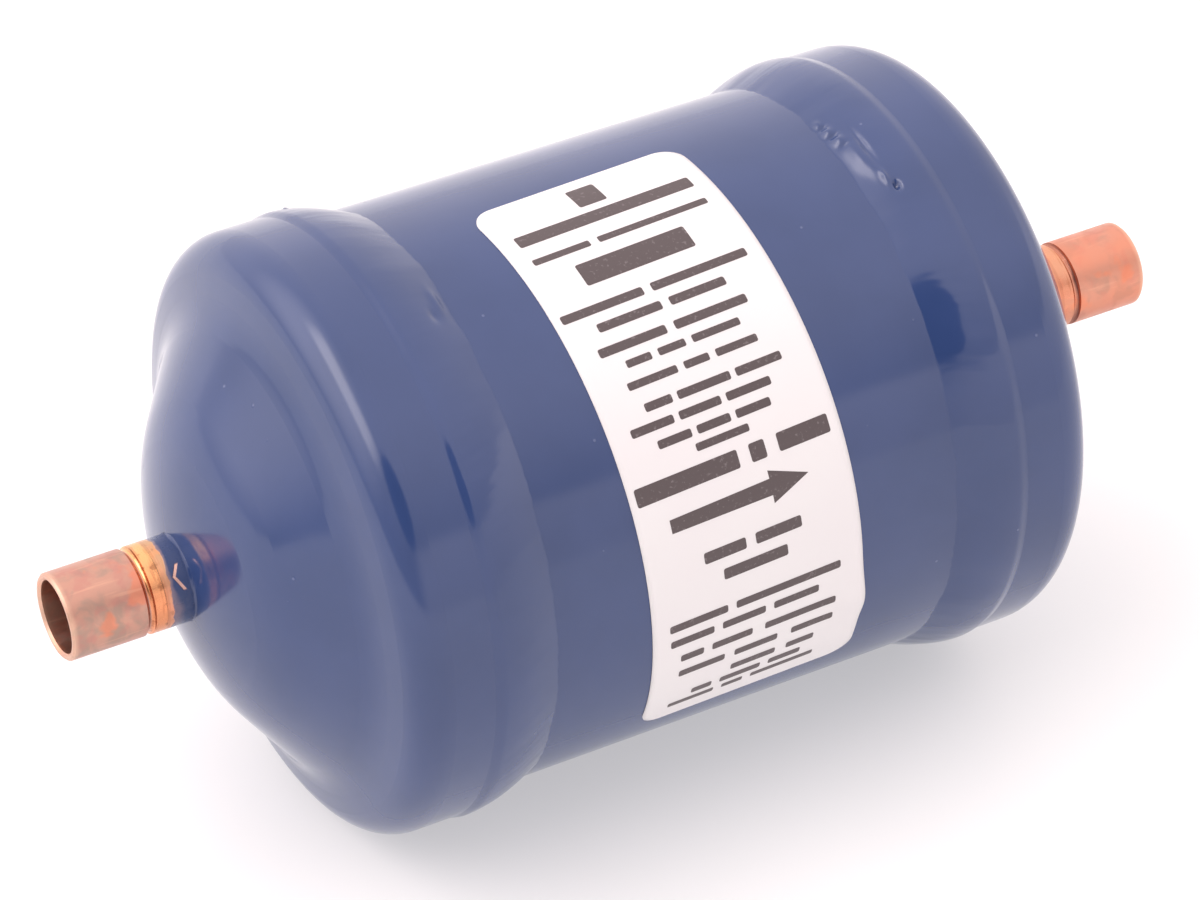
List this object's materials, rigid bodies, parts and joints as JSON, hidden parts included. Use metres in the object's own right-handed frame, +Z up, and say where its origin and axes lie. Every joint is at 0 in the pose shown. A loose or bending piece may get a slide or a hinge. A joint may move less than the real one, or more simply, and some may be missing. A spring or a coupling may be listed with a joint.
{
  "type": "filter drier",
  "caption": "Welded steel refrigerant filter drier: blue cylindrical shell with domed caps, a copper solder socket at each end, and a spring-loaded bead bed inside.",
  "frame": {"origin": "middle of the shell on its axis, halfway between the two socket mouths", "axes": "+X along the axis in the direction of flow, from the inlet socket to the outlet socket; +Z up; the label is on the -Y side and on top"},
  "size_m": [0.158, 0.0804, 0.0804],
  "materials": {
    "shell_paint": "glossy deep blue paint over steel",
    "copper": null,
    "braze": "dull brazing filler",
    "label_film": "white satin label film with plain dark fields",
    "bare_steel": "bare steel strip and wire",
    "steel_mesh": "fine woven wire",
    "fibre": "pressed fibre felt",
    "beads": "matt drying beads",
    "carbon": "black activated carbon"
  },
  "bodies": {
    "root": {"shell_tube": "shell_paint", "inlet_end_cap": "shell_paint", "outlet_end_cap": "shell_paint", "inlet_seam_weld": "shell_paint", "outlet_seam_weld": "shell_paint", "inlet_fitting": "copper", "outlet_fitting": "copper", "inlet_braze_ring": "shell_paint", "outlet_braze_ring": "braze", "label": "label_film", "compression_spring": "bare_steel", "pressure_plate": "bare_steel", "outlet_support_plate": "bare_steel", "inlet_screen": "steel_mesh", "outlet_screen": "steel_mesh", "inlet_felt_pad": "fibre", "outlet_filter_pad": "fibre", "desiccant_bed": "beads", "carbon_bed": "carbon"}
  },
  "joints": []
}
